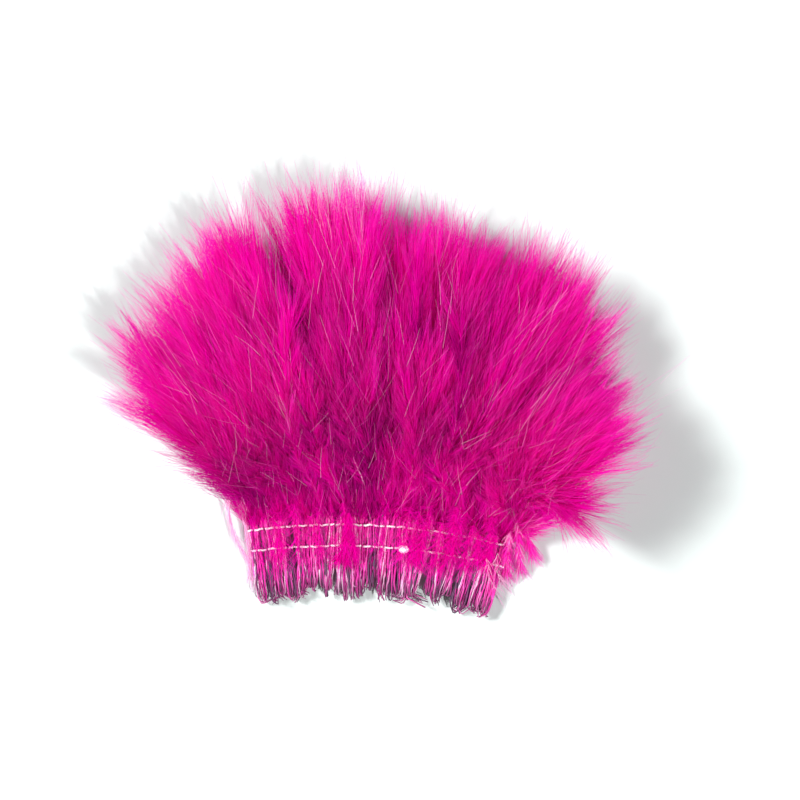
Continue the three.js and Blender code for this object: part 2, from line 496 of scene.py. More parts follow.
BARB_NUMBERS = (
    "Root angle", "Tip angle", "Width", "Tip width", "Spread", "Free share", "Flatness",
    "Sag", "Swirl", "Scatter", "Tone spread", "Light and shade patches", "Top light",
)
BARB_COUNTS = ("Barbs per shaft", "Barbs per lock", "Seed")
BARB_INPUTS = dict.fromkeys(BARB_NUMBERS, "Float") | dict.fromkeys(BARB_COUNTS, "Int")
BARB_INPUTS["Material"] = "Material"


def barb_tree():
    nodes, given = fresh_tree("barbs", BARB_INPUTS)
    curve = nodes.out(nodes.add("GeometryNodeMeshToCurve", None, {"Mesh": given["Geometry"]}))
    placed = nodes.add(
        "GeometryNodeCurveToPoints", {"mode": "COUNT"}, {0: curve, "Count": given["Barbs per shaft"]}
    )
    points, along_shaft = nodes.out(placed, "Points"), nodes.out(placed, "Tangent")
    index = nodes.out(nodes.add("GeometryNodeInputIndex"))
    place = nodes.out(nodes.add("GeometryNodeInputPosition"))
    seed = given["Seed"]
    lock = (index / given["Barbs per lock"]).call("FLOOR")
    share = (index / given["Barbs per shaft"]).call("FRACT")
    free = random_number(nodes, index, seed, 0.0, 1.0).call("LESS_THAN", given["Free share"])

    side = along_shaft.vector_call("CROSS_PRODUCT", (0.0, 0.0, 1.0)).vector_call("NORMALIZE")
    up = side.vector_call("CROSS_PRODUCT", along_shaft)
    turn = mixed(
        random_number(nodes, lock, seed + 1, 0.0, FULL_TURN),
        random_number(nodes, index, seed + 2, 0.0, FULL_TURN),
        free,
    )
    outward = side * turn.call("COSINE") + up * (turn.call("SINE") * given["Flatness"])
    wander = random_number(nodes, lock, seed + 3, *LOCK_ANGLES)
    root_angle = given["Root angle"] * wander * (1 - share * ANGLE_LOST_BY_SHAFT_END)
    tip_angle = given["Tip angle"] * wander
    swirl = noise_vector(nodes, place, SWIRL_SCALE) * given["Swirl"]
    first_way = along_shaft * root_angle.call("COSINE") + outward * root_angle.call("SINE")
    last_way = along_shaft * tip_angle.call("COSINE") + outward * tip_angle.call("SINE") + swirl
    length = (
        named_number(nodes, "reach")
        * random_number(nodes, lock, seed + 4, *LOCK_LENGTHS)
        * random_number(nodes, index, seed + 5, *BARB_LENGTHS)
    )
    leader = nodes.add(
        "GeometryNodeFieldAtIndex",
        {"data_type": "FLOAT_VECTOR", "domain": "POINT"},
        {"Index": (lock + 0.5) * given["Barbs per lock"], "Value": place},
    )
    gather = (nodes.out(leader) - place) * (1 - free)
    stray = random_vector(nodes, index, seed + 6) * (length * given["Spread"])
    across = random_vector(nodes, index, seed + 7).vector_call("CROSS_PRODUCT", last_way)
    # Broad random patches of lighter and darker tone are painted light and shade for the bunch's bulges
    # and hollows.
    light_and_shade_patch = nodes.split(noise_vector(nodes, place, LIGHT_AND_SHADE_PATCH_SCALE))[0] * given["Light and shade patches"]
    tone = (
        named_number(nodes, "shade")
        + light_and_shade_patch
        # Barbs that point upward get a lighter tone: painted top light.
        + turn.call("SINE") * given["Top light"]
        + random_number(nodes, lock, seed + 8, -1.0, 1.0) * given["Tone spread"]
        + random_number(nodes, index, seed + 9, -BARB_TONE_SHARE, BARB_TONE_SHARE)
        * given["Tone spread"]
    )
    points, kept = captured(
        nodes,
        points,
        {
            "root": place + random_vector(nodes, index, seed + 10) * given["Scatter"],
            "first_way": first_way * length,
            "last_way": last_way * length,
            "gather": gather,
            "stray": stray,
            "across": across.vector_call("NORMALIZE"),
            "tone": tone.call("MAXIMUM", TONE_LIMITS[0]).call("MINIMUM", TONE_LIMITS[1]),
            "free": free,
            "length": length,
        },
    )

    ribbon = nodes.add(
        "GeometryNodeMeshGrid",
        None,
        {"Size X": 1.0, "Size Y": 2.0, "Vertices X": RIBBON_STEPS, "Vertices Y": 2},
    )
    ribbon, on_ribbon = captured(nodes, nodes.out(ribbon, "Mesh"), {"spot": place})
    stood = nodes.add("GeometryNodeInstanceOnPoints", None, {"Points": points, "Instance": ribbon})
    real = nodes.out(nodes.add("GeometryNodeRealizeInstances", None, {0: nodes.out(stood)}))

    spot_x, edge, _ = nodes.split(on_ribbon["spot"])
    t = spot_x + 0.5
    half = t * t * 0.5
    spine = kept["root"] + kept["first_way"] * (t - half) + kept["last_way"] * half
    belly = mixed(t * (1 - t) * LOCK_BELLY + t * LOCK_TIP_SPREAD, t, kept["free"])
    ripple_place = kept["root"] * 3.0 + kept["stray"] * 2.0 + spine
    ripple = noise_vector(nodes, ripple_place, RIPPLE_SCALE, 0.0)
    spine = (
        spine
        + kept["stray"] * belly
        + kept["gather"] * t
        + ripple * (kept["length"] * t * RIPPLE_SIZE)
        + nodes.combine(0.0, 0.0, t * t * kept["length"] * given["Sag"] * -1.0)
    )
    taper = (1 - t) ** TAPER_POWER * (given["Width"] - given["Tip width"]) + given["Tip width"]
    spine = spine + kept["across"] * (edge * taper * 0.5)
    lifted = above_floor(nodes, spine)
    shaped = nodes.add("GeometryNodeSetPosition", None, {0: real, "Position": lifted})
    stored = nodes.add(
        "GeometryNodeStoreNamedAttribute",
        {"data_type": "FLOAT2", "domain": "CORNER"},
        {
            0: nodes.out(shaped),
            "Name": "OFBake",
            "Value": nodes.combine(t, kept["tone"] + edge * TONE_WIDTH, 0.0),
        },
    )
    return close_tree(nodes, nodes.out(stored), given["Material"])


barbs = barb_tree()
print("the barb tree has", len(barbs.nodes), "nodes")


def guide_mesh(name, lines):
    """A mesh of bare polylines. Each line is its points and the numbers that each point carries."""
    mesh = bpy.data.meshes.new(name + "_guide")
    points = np.vstack([line for line, _ in lines])
    edges, start = [], 0
    for line, _ in lines:
        edges += [(start + step, start + step + 1) for step in range(len(line) - 1)]
        start += len(line)
    mesh.from_pydata(points.tolist(), edges, [])
    for key in lines[0][1]:
        parts = [np.broadcast_to(numbers[key], len(line)) for line, numbers in lines]
        layer = mesh.attributes.new(key, "FLOAT", "POINT")
        layer.data.foreach_set("value", np.concatenate(parts).astype(np.float32))
    return mesh

# %% [markdown]
# ## The colour of dyed down
#
# The down is dyed one strong magenta, but barbs hold the dye unevenly: some come out plum, most
# magenta, a few nearly pink, and all are paler at their fine tips. Light also passes through the
# thin ribbons, which is what makes down glow, so the surface is a mix of a soft sheen and a
# translucent layer. The colour reads only the ribbon's own map. The glow has one steady tint, so
# the pale wisps and hairs use a second material that glows paler.
# On top of that, broad random patches of lighter and darker tone are painted light and shade for the
# bunch's bulges and hollows.

# %% Material: down
def linear(red, green, blue):
    """A screen colour of 0 to 255 as the linear values that a shader works in."""
    def undo(value):
        value /= 255
        return value / 12.92 if value <= 0.04045 else ((value + 0.055) / 1.055) ** 2.4
    return (undo(red), undo(green), undo(blue), 1.0)


def ramp(nodes, factor, stops):
    node = nodes.add("ShaderNodeValToRGB", None, {"Fac": factor})
    elements = node.color_ramp.elements
    while len(elements) < len(stops):
        elements.new(0.5)
    for element, (place, colour) in zip(elements, stops):
        element.position = place
        element.color = colour
    return nodes.out(node)


def mixed_colour(nodes, factor, first, second):
    node = nodes.add(
        "ShaderNodeMix", {"data_type": "RGBA"}, {"Factor": factor, "A": first, "B": second}
    )
    return nodes.out(node)


def own_map(nodes):
    node = nodes.add("ShaderNodeUVMap", {"uv_map": "OFBake"})
    across, tone, _ = nodes.split(nodes.out(node))
    return across, tone


# The palest tones colour the pale wisps and are also the painted highlights of the long hairs.
DOWN_TONES = [
    (0.0, linear(112, 0, 90)),
    (0.28, linear(212, 0, 158)),
    (0.55, linear(252, 0, 190)),
    (0.8, linear(255, 2, 204)),
    (0.9, linear(255, 90, 216)),
    (1.0, linear(255, 226, 245)),
]
TIP_PINK = linear(255, 110, 214)
SHEEN_PINK = linear(255, 40, 190)
MAGENTA_GLOW = linear(242, 0, 178)
PALE_GLOW = linear(255, 130, 216)
TIP_START_POWER = 8.0
TIP_PINK_SHARE = 0.3
GLOW_SHARE = 0.38


def down_material(name, glow_tint):
    material, nodes = fresh_material(name)
    along, tone = own_map(nodes)
    colour = ramp(nodes, tone, DOWN_TONES)
    colour = mixed_colour(nodes, along**TIP_START_POWER * TIP_PINK_SHARE, colour, TIP_PINK)
    surface = nodes.add(
        "ShaderNodeBsdfPrincipled",
        None,
        {
            "Base Color": colour,
            "Roughness": 0.5,
            "Specular IOR Level": 0.1,
            "Specular Tint": SHEEN_PINK,
        },
    )
    glow = nodes.add("ShaderNodeBsdfTranslucent", None, {"Color": glow_tint})
    both = nodes.add(
        "ShaderNodeMixShader", None, {0: GLOW_SHARE, 1: nodes.out(surface), 2: nodes.out(glow)}
    )
    nodes.add("ShaderNodeOutputMaterial", None, {0: nodes.out(both)})
    return material


dyed_down = down_material("dyed_down", MAGENTA_GLOW)
pale_down = down_material("pale_down", PALE_GLOW)

# %% [markdown]
# ## The plumes
#
# A frame feather stands for three real ones that lie side by side under the same stitch. Their
# shafts start together at the sewing, part inside the plume, and stop well before its end, where
# only barbs go on. No two real feathers lie alike, so each one bows and swings a little by chance.
# Each barb's reach grows from the band to the shaft's end, so that the plume opens like a brush.

# %% Shafts
REAL_FEATHERS = (-1.0, 0.0, 1.0)
BAND_OFFSET = 0.97 * MM
PLUME_OFFSET = 4.8 * MM
HEIGHT_WANDER = 2.2 * MM
BOW = 2.5 * MM
LEAST_HEIGHT = 2.5 * MM
SHAFT_POINTS = 26
SHARES = np.linspace(0, 1, LINE_POINTS)


def inside_plume(number):
    """How far each point of a centre line lies from the plume's base, as 0 to 1."""
    base = centre_lines[number][1]
    return np.clip((SHARES - base) / (1 - base), 0, 1)


def shaft_line(number, place, stop, swing=0.0, lift=0.0, curl=0.0):
    """One real feather's shaft, from just below the plume to a distance before its end."""
    line, base = centre_lines[number]
    whole = line_length(line)
    inside = inside_plume(number)
    opened = inside * (2 - inside)
    offset = place * (BAND_OFFSET + (PLUME_OFFSET - BAND_OFFSET) * opened)
    offset += rng.uniform(-1, 1) * BOW * np.sin(math.pi * inside)
    offset += whole * inside * (swing + curl * inside)
    moved = line + sideways(line) * offset[:, None]
    moved[:, 2] += rng.uniform(-1, 1) * HEIGHT_WANDER * opened + lift * np.sqrt(inside)
    moved[:, 2] = np.maximum(moved[:, 2], LEAST_HEIGHT)
    wanted = np.linspace(base - MM / whole, stop, SHAFT_POINTS)
    return np.stack([np.interp(wanted, SHARES, moved[:, axis]) for axis in range(3)], axis=1)


# %% Down on every plume
def aims(root, tip, free_share):
    """How wide barbs start and end, in degrees, and the share that strays from its lock."""
    angles = {"Root angle": math.radians(root), "Tip angle": math.radians(tip)}
    return angles | {"Free share": free_share}


TIP_REACH = 25 * MM
CLEFT_AT = 11.5 * MM
CLEFT_HALF_WIDTH = 8 * MM
CLEFT_DEPTH = 3.5 * MM
BETWEEN_LAYERS = 8 * MM
BASE_DARKENING = 0.25
# Chance differences between the real feathers of one column.
LONGEST_REACH = 0.3
REACHES = (0.85, 1.1)
STOP_SHARE = 0.80
STOP_SHARE_AT_SIDES = 0.5
STOP_CHANCE = 0.2
PLACE_CHANCE = 0.2
SWING_CHANCE = 0.022
REACH_AT_BASE = 0.5
TONE = 0.50
TONE_CHANCE = 0.10
PALER_RIGHT = 0.08
PALER_FROM = 0.4
BARBS_ABOVE = 3100
BARBS_BELOW = 1300
DOWN_VALUES = {
    "Barbs per lock": 24,
    "Width": 0.14 * MM,
    "Tip width": 0.035 * MM,
    "Spread": 0.13,
    "Flatness": 0.75,
    "Sag": 0.03,
    "Swirl": 0.62,
    "Scatter": 0.3 * MM,
    "Tone spread": 0.15,
    "Light and shade patches": 0.95,
    "Top light": 0.08,
    "Material": dyed_down,
} | aims(42, 12, 0.5)
SHAFT_THICK = 0.30 * MM
SHAFT_TIP_SHARE = 0.25
SHAFT_TONE = 0.35
TUFTS = FEATHERS // FEATHERS_PER_TUFT
rachis_lines = {f"tuft_{k}": [] for k in range(1, TUFTS + 1)}


def rachis(line, body, thick, tone):
    """Remembers a shaft, so that the tuft's shafts can be built together later."""
    taper = np.linspace(1.0, SHAFT_TIP_SHARE, len(line))
    rachis_lines[body].append((line, {"thick": thick * taper, "shade": tone}))


total = 0
for number in range(1, FEATHERS + 1):
    shafts, above = [], number % 2 == 0
    whole = line_length(centre_lines[number][0])
    tip = centre_lines[number][0][-1]
    toward_side = abs(tip[0]) / high[0]
    cleft = CLEFT_DEPTH * math.exp(-(((tip[0] - CLEFT_AT) / CLEFT_HALF_WIDTH) ** 2))
    for place in REAL_FEATHERS:
        reach = min(TIP_REACH, whole * LONGEST_REACH) * rng.uniform(*REACHES)
        before_end = STOP_SHARE + STOP_SHARE_AT_SIDES * toward_side**5
        before_end += rng.uniform(0, STOP_CHANCE)
        stop = 1 - (reach * before_end + cleft) / whole
        between = rng.uniform(0, BETWEEN_LAYERS) * (-1 if above else 1)
        place += rng.uniform(-PLACE_CHANCE, PLACE_CHANCE)
        line = shaft_line(number, place, stop, rng.normal() * SWING_CHANCE, between)
        grow = REACH_AT_BASE + (1 - REACH_AT_BASE) * np.linspace(0, 1, SHAFT_POINTS) ** 0.7
        shade = TONE + rng.uniform(-TONE_CHANCE, TONE_CHANCE)
        shade += PALER_RIGHT * max(tip[0] / high[0] - PALER_FROM, 0)
        darker = BASE_DARKENING * (1 - np.linspace(0, 1, SHAFT_POINTS))
        shafts.append((line, {"reach": reach * grow, "shade": shade - darker}))
        rachis(line, tuft_of(number), SHAFT_THICK, SHAFT_TONE + rng.uniform(-0.1, 0.1))
    name = f"down_{number:02d}"
    values = {"Seed": 100 * number, "Barbs per shaft": BARBS_ABOVE if above else BARBS_BELOW}
    piece = grown(name, guide_mesh(name, shafts), barbs, DOWN_VALUES | values)
    total += finish_piece(piece, tuft_of(number), "down", f"plume_{number:02d}")
print("plumes:", total, "triangles")

# %% [markdown]
# ## Short feathers on top
#
# Strung feathers are not sorted by length. The short ones lie on top near the sewing, swing out to
# both sides, and end in the middle of the bunch, which gives it its locks and dark partings.

# %% Short plumes
SHORT_SHARES = (0.34, 0.46, 0.58, 0.70)
SHORT_SWING = 0.40
SHORT_CURL = 0.72
SHORT_LIFT = 6.0 * MM
SHORT_VALUES = DOWN_VALUES | {
    "Barbs per shaft": 1500,
    "Barbs per lock": 30,
    "Spread": 0.13,
    "Sag": 0.12,
    "Swirl": 1.1,
    "Tone spread": 0.16,
} | aims(38, 16, 0.4)
UPPER_IN_TUFT = (2, 4)
SHORT_REACH = 14 * MM
SHORT_REACHES = (0.8, 1.15)
SHORT_REACH_AT_BASE = 0.45
SHORT_TONE = 0.38
SHORT_TONE_CHANCE = 0.22
THIN_SHAFT = 0.26 * MM
MIDDLE = (TUFTS - 1) / 2
# Towards the ends of the band, chance turns them less and the second number turns them inwards.
END_CALM = 0.4
END_INWARDS = 0.35


def end_bias(outward):
    """A swing or curl by chance, which leans inwards near either end of the band."""
    return rng.uniform(-1, 1) * (1 - END_CALM * abs(outward)) - END_INWARDS * outward


total = 0
for k in range(TUFTS):
    shafts = []
    for turn, share in enumerate(SHORT_SHARES):
        number = FEATHERS_PER_TUFT * k + UPPER_IN_TUFT[turn % 2]
        stop = share + rng.uniform(-0.06, 0.06)
        outward = (k - MIDDLE) / MIDDLE
        swing = SHORT_SWING * end_bias(outward)
        curl = SHORT_CURL * end_bias(outward)
        lift = SHORT_LIFT * rng.uniform(0.7, 1.2)
        line = shaft_line(number, rng.uniform(-1, 1), stop, swing, lift, curl)
        reach = SHORT_REACH * rng.uniform(*SHORT_REACHES)
        grow = np.linspace(SHORT_REACH_AT_BASE, 1, SHAFT_POINTS)
        shade = SHORT_TONE + rng.uniform(-SHORT_TONE_CHANCE, SHORT_TONE_CHANCE)
        shafts.append((line, {"reach": reach * grow, "shade": shade}))
        rachis(line, f"tuft_{k + 1}", THIN_SHAFT, 0.62 + rng.uniform(-0.1, 0.25))
    name = f"short_down_{k + 1}"
    piece = grown(name, guide_mesh(name, shafts), barbs, SHORT_VALUES | {"Seed": 7000 + k})
    total += finish_piece(piece, f"tuft_{k + 1}", "down")
print("short plumes:", total, "triangles")

# %% [markdown]
# ## Feathers that swing out at the ends
#
# At both ends of the band nothing keeps the feathers in line, so a few swing out and down and
# round off the bunch.

# %% End plumes
# For each end feather: how far its real feathers swing, and where their shafts stop.
END_SWINGS = {
    1: [(0.03, 0.70), (-0.02, 0.62), (-0.07, 0.52)],
    24: [(0.05, 0.72), (0.13, 0.68), (0.23, 0.61), (0.35, 0.52), (0.48, 0.42)],
}
END_VALUES = DOWN_VALUES | {
    "Barbs per shaft": 1300,
    "Spread": 0.17,
    "Sag": 0.12,
} | aims(50, 24, 0.6)
END_LIFT = 2.0 * MM
END_REACH = 20 * MM
END_REACH_AT_BASE = 0.35
END_TONE = 0.62
END_TONE_CHANCE = 0.08
END_SHAFT_TONE = 0.6

for number, swings in END_SWINGS.items():
    shafts = []
    for swing, stop in swings:
        line = shaft_line(number, 0.0, stop, swing, END_LIFT)
        grow = np.linspace(END_REACH_AT_BASE, 1, SHAFT_POINTS)
        shade = END_TONE + rng.uniform(-END_TONE_CHANCE, END_TONE_CHANCE)
        shafts.append((line, {"reach": END_REACH * grow, "shade": shade}))
        rachis(line, tuft_of(number), THIN_SHAFT, END_SHAFT_TONE)
    name = "end_down_" + tuft_of(number)[-1]
    piece = grown(name, guide_mesh(name, shafts), barbs, END_VALUES | {"Seed": 6000 + number})
    print(name + ":", finish_piece(piece, tuft_of(number), "down"), "triangles")

# %% [markdown]
# ## Long pale hairs
#
# A few barbs are longer and stiffer than the rest. They lie across the surface at odd angles and catch
# the light, and their pale tone is a painted highlight. The same tree grows them, with few barbs, no
# locks and that pale tone.

# %% Long hairs
HAIR_SHAFTS = 9
HAIR_VALUES = DOWN_VALUES | {
    "Barbs per shaft": 26,
    "Barbs per lock": 1,
    "Width": 0.06 * MM,
    "Tip width": 0.03 * MM,
    "Spread": 0.2,
    "Flatness": 0.4,
    "Sag": 0.1,
    "Swirl": 0.5,
    "Scatter": 4.0 * MM,
    "Tone spread": 0.06,
    "Light and shade patches": 0.1,
    "Material": pale_down,
} | aims(30, 22, 1.0)
HAIR_STOP = 0.82
HAIR_SWING = 0.09
HAIR_LIFT = 7.5 * MM
HAIR_REACHES = (9, 16)
# The long hairs' pale tone is a painted highlight.
HAIR_HIGHLIGHT_TONE = 0.9

total = 0
for k in range(TUFTS):
    shafts = []
    for turn in range(HAIR_SHAFTS):
        number = FEATHERS_PER_TUFT * k + UPPER_IN_TUFT[turn % 2]
        place, swing = rng.uniform(-2, 2), rng.normal() * HAIR_SWING
        line = shaft_line(number, place, HAIR_STOP, swing, HAIR_LIFT)
        shafts.append((line, {"reach": rng.uniform(*HAIR_REACHES) * MM, "shade": HAIR_HIGHLIGHT_TONE}))
    name = f"long_hairs_{k + 1}"
    piece = grown(name, guide_mesh(name, shafts), barbs, HAIR_VALUES | {"Seed": 8000 + k})
    total += finish_piece(piece, f"tuft_{k + 1}", "down")
print("long hairs:", total, "triangles")

# %% [markdown]
# ## Round strands
#
# Quills, shafts and thread are all thin round strands along a line. One tree skins them: it
# evens out the line's points, lays as many plies as are asked for in a twist around it, and
# sweeps a small ring whose size comes from a number on the line. The strand's own map again
# carries the place along it and its tone.

# %% Geometry Nodes: strands
# How much a spot's place around a strand moves its tone.
STREAK_WIDTH = 0.015


def strand_tree():
    nodes, given = fresh_tree(
        "strands",
        {
            "Step": "Float",
            "Sides": "Int",
            "Plies": "Int",
            "Twist radius": "Float",
            "Twist length": "Float",
            "Material": "Material",
        },
    )
    curve = nodes.out(nodes.add("GeometryNodeMeshToCurve", None, {"Mesh": given["Geometry"]}))
    even = nodes.add(
        "GeometryNodeResampleCurve", {"mode": "LENGTH"}, {0: curve, "Length": given["Step"]}
    )
    copies = nodes.add(
        "GeometryNodeDuplicateElements", {"domain": "SPLINE"}, {0: nodes.out(even), 2: given["Plies"]}
    )
    run = nodes.add("GeometryNodeSplineParameter")
    ply = nodes.out(copies, "Duplicate Index") / given["Plies"]
    turn = (nodes.out(run, "Length") / given["Twist length"] + ply) * FULL_TURN
    normal = nodes.out(nodes.add("GeometryNodeInputNormal"))
    ahead = nodes.out(nodes.add("GeometryNodeInputTangent"))
    round_way = normal * turn.call("COSINE")
    round_way = round_way + ahead.vector_call("CROSS_PRODUCT", normal) * turn.call("SINE")
    offset = round_way * given["Twist radius"]
    twisted = nodes.add("GeometryNodeSetPosition", None, {0: nodes.out(copies), "Offset": offset})
    twisted, kept = captured(
        nodes,
        nodes.out(twisted),
        {"along": nodes.out(run, "Factor"), "tone": named_number(nodes, "shade")},
    )
    ring = nodes.add(
        "GeometryNodeCurvePrimitiveCircle", None, {"Resolution": given["Sides"], "Radius": 1.0}
    )
    place = nodes.out(nodes.add("GeometryNodeInputPosition"))
    ring, on_ring = captured(nodes, nodes.out(ring), {"spot": place})
    skin = nodes.add(
        "GeometryNodeCurveToMesh",
        None,
        {0: twisted, 1: ring, "Scale": named_number(nodes, "thick"), "Fill Caps": True},
    )
    around, _, _ = nodes.split(on_ring["spot"])
    stored = nodes.add(
        "GeometryNodeStoreNamedAttribute",
        {"data_type": "FLOAT2", "domain": "CORNER"},
        {
            0: nodes.out(skin),
            "Name": "OFBake",
            "Value": nodes.combine(kept["along"], kept["tone"] + around * STREAK_WIDTH, 0.0),
        },
    )
    return close_tree(nodes, nodes.out(stored), given["Material"])


strands = strand_tree()
print("the strand tree has", len(strands.nodes), "nodes")

# %% [markdown]
# ## The quills
#
# Below the plumes stand the cut quill ends. Dyeing, drying and the sewing machine have split them
# into stiff fibres, so each one is a small sheaf: pale, pink and magenta fibres side by side, some
# grey where the quill was bare of dye, all ending raggedly. One solid rod could carry painted
# streaks, but its cut end would give it away, so every fibre is a strand of its own.

# %% Material: quill
QUILL_TONES = [
    (0.0, linear(90, 66, 92)),
    (0.18, linear(132, 40, 112)),
    (0.38, linear(216, 4, 150)),
    (0.6, linear(240, 70, 180)),
    (0.8, linear(236, 160, 208)),
    (1.0, linear(250, 226, 242)),
]


STREAKS_ALONG = 12.0
STREAKS_BY_TONE = 110.0
NEAR_END_SPAN = 1 / 5
FAR_END_RISE = 3.0
FAR_END_START = 1.3
MOST_END_TINT = 0.85
BUMP_DEPTH = 0.1 * MM


def strand_material(name, tones, end_tint, far_tint, roughness, streak):
    """A finish that follows the tone on each strand's own map, with a tint towards either end."""
    material, nodes = fresh_material(name)
    along, tone = own_map(nodes)
    flow = nodes.combine(along * STREAKS_ALONG, tone * STREAKS_BY_TONE, 0.0)
    noise = nodes.add("ShaderNodeTexNoise", None, {"Vector": flow, "Scale": 1.0, "Detail": 3.0})
    level = nodes.out(noise, "Fac")
    colour = ramp(nodes, tone + (level - 0.5) * streak, tones)
    near_end = (1 - along / NEAR_END_SPAN).call("MAXIMUM", 0.0)
    tinted = (near_end * (level + 0.25)).call("MINIMUM", MOST_END_TINT)
    colour = mixed_colour(nodes, tinted, colour, end_tint)
    near_far_end = (along * FAR_END_RISE - FAR_END_START).call("MAXIMUM", 0.0).call("MINIMUM", 1.0)
    colour = mixed_colour(nodes, near_far_end * (1.1 - level), colour, far_tint)
    bump = nodes.add("ShaderNodeBump", None, {"Strength": 0.4, "Distance": BUMP_DEPTH, "Height": level})
    surface = nodes.add(
        "ShaderNodeBsdfPrincipled",
        None,
        {
            "Base Color": colour,
            "Roughness": level * 0.25 + roughness,
            "Specular IOR Level": 0.25,
            "Normal": nodes.out(bump),
        },
    )
    nodes.add("ShaderNodeOutputMaterial", None, {0: nodes.out(surface)})
    return material


DRY_END = linear(96, 62, 88)
WELL_DYED = linear(236, 0, 160)
quill_fibre = strand_material("quill_fibre", QUILL_TONES, DRY_END, WELL_DYED, 0.35, 0.8)

# %% Quill fibres
FIBRES = 10
FIBRE_POINTS = 24
SHEAF_OFFSET = 0.72 * MM
QUILL_HALF_WIDTH = 0.52 * MM
QUILL_HALF_HEIGHT = 0.70 * MM
PAST_ROWS = 9 * MM
# Sheaves of one column draw together at their cut ends.
END_PINCH = 0.22
# Chance differences between quills, in mm: length and lean of a column, then of each sheaf.
COLUMN_EXTRA = (-2.0, 1.5)
COLUMN_LEAN = 1.0
SHEAF_EXTRA = (-2.0, 1.4)
SHEAF_LEAN = 0.7
SHEAF_TONE = 0.42
# Chance differences between fibres: bends and crinkles in mm, then shares.
FIBRE_BEND = (0.1, 0.4)
FIBRE_WAVES = (4, 14)
CRINKLE, END_CRINKLE = 0.07, 0.10
END_SPLAY, SPLAYS = 0.6, (-0.8, 2)
SHEAF_TWIST = 1.2
CUT_SHORT, CUT_POWER = 0.2, 1.3
FIBRE_THICK = (0.16, 0.36)
UNEVEN_THICK = (0.6, 1.3)
FIBRE_TONE, TONE_NOISE = 0.2, 0.07
SHADE_LIMITS = (0.02, 0.98)
STRAND_VALUES = {
    "Step": 0.9 * MM,
    "Sides": 4,
    "Plies": 1,
    "Twist radius": 0.0,
    "Twist length": 1.0,
    "Material": quill_fibre,
}


def quill_line(number, place, extra, lean):
    """A real quill from its cut end, moved by extra and lean, to just inside the plume."""
    line, base = centre_lines[number]
    whole = line_length(line)
    wanted = np.linspace(0, base + PAST_ROWS / whole, FIBRE_POINTS)
    found = np.stack([np.interp(wanted, SHARES, line[:, axis]) for axis in range(3)], axis=1)
    back = np.linspace(1, 0, FIBRE_POINTS)[:, None] ** 2
    found = found - directions(found) * back * extra + sideways(found) * (back * lean)
    return found + sideways(found) * (place * SHEAF_OFFSET * (1 - END_PINCH * back))


def fibre_sheaf(line, fibres, tone):
    """The fibres of one split quill, spread a little more at its ragged end."""
    found = []
    side, up = sideways(line), np.array([0.0, 0.0, 1.0])
    back = np.linspace(1, 0, FIBRE_POINTS)[:, None]
    twist = rng.normal() * SHEAF_TWIST
    for fibre in range(fibres):
        angle = FULL_TURN * fibre / (fibres - 1) + twist * back
        out = 0.0 if fibre == 0 else 1.0
        wave = rng.uniform(0, FULL_TURN, 2)
        wander = rng.uniform(*FIBRE_BEND) * MM * np.sin(back * rng.uniform(*FIBRE_WAVES) + wave)
        crinkle = CRINKLE + END_CRINKLE * back
        wander = wander + rng.normal(size=(FIBRE_POINTS, 2)) * crinkle * MM
        splay = out * (1 + END_SPLAY * back**3 * rng.uniform(*SPLAYS))
        path = line + side * (np.cos(angle) * splay * QUILL_HALF_WIDTH + wander[:, :1])
        path = path + up * (np.sin(angle) * splay * QUILL_HALF_HEIGHT + wander[:, 1:])
        shorter = rng.uniform(0, CUT_SHORT) ** CUT_POWER
        cut = np.linspace(shorter, 1, FIBRE_POINTS)
        steps = np.linspace(0, 1, FIBRE_POINTS)
        path = np.stack([np.interp(cut, steps, path[:, axis]) for axis in range(3)], axis=1)
        thick = rng.uniform(*FIBRE_THICK) * MM * (1 - 0.5 * back[:, 0] ** 8)
        thick = thick * rng.uniform(*UNEVEN_THICK, FIBRE_POINTS)
        shade = tone + rng.normal() * FIBRE_TONE + rng.normal() * FIBRE_TONE * back[:, 0]
        shade = np.clip(shade + rng.normal(size=FIBRE_POINTS) * TONE_NOISE, *SHADE_LIMITS)
        path[:, 2] = np.maximum(path[:, 2], thick)
        found.append((path, {"thick": thick, "shade": shade}))
    return found


total = 0
for number in range(1, FEATHERS + 1):
    fibres = []
    extra, lean = rng.uniform(*COLUMN_EXTRA) * MM, rng.normal() * COLUMN_LEAN * MM
    for place in REAL_FEATHERS:
        longer = extra + rng.uniform(*SHEAF_EXTRA) * MM
        line = quill_line(number, place, longer, lean + rng.normal() * SHEAF_LEAN * MM)
        fibres += fibre_sheaf(line, FIBRES, SHEAF_TONE + rng.uniform(-0.2, 0.2))
    name = f"quills_{number:02d}"
    piece = grown(name, guide_mesh(name, fibres), strands, STRAND_VALUES)
    total += finish_piece(piece, tuft_of(number), "quill", f"quill_{number:02d}")
print("quills:", total, "triangles")

# %% Shafts inside the plumes
SHAFT_VALUES = STRAND_VALUES | {"Step": 3.0 * MM, "Sides": 5}
total = 0
for body, lines in rachis_lines.items():
    name = "shafts_" + body[-1]
    piece = grown(name, guide_mesh(name, lines), strands, SHAFT_VALUES)
    total += finish_piece(piece, body, "quill")
print("shafts:", total, "triangles")

# %% [markdown]
# ## The two rows of thread
#
# A lockstitch shows as a row of short dashes on each face. The needle goes through the split
# fibres in the middle of each column, and there the upper thread dives deep to lock with the lower
# one, which stays nearly flat. It is a white two-ply cotton, so the strand tree twists two plies
# together. The rows follow the stitches of the frame, tuft by tuft, and each dash has its own tilt.

# %% Material: thread
THREAD_TONES = [
    (0.0, linear(236, 206, 226)),
    (0.4, linear(254, 246, 251)),
    (1.0, linear(255, 255, 255)),
]
CLEAN_WHITE = linear(253, 244, 250)
white_thread = strand_material("white_thread", THREAD_TONES, CLEAN_WHITE, CLEAN_WHITE, 0.6, 0.4)

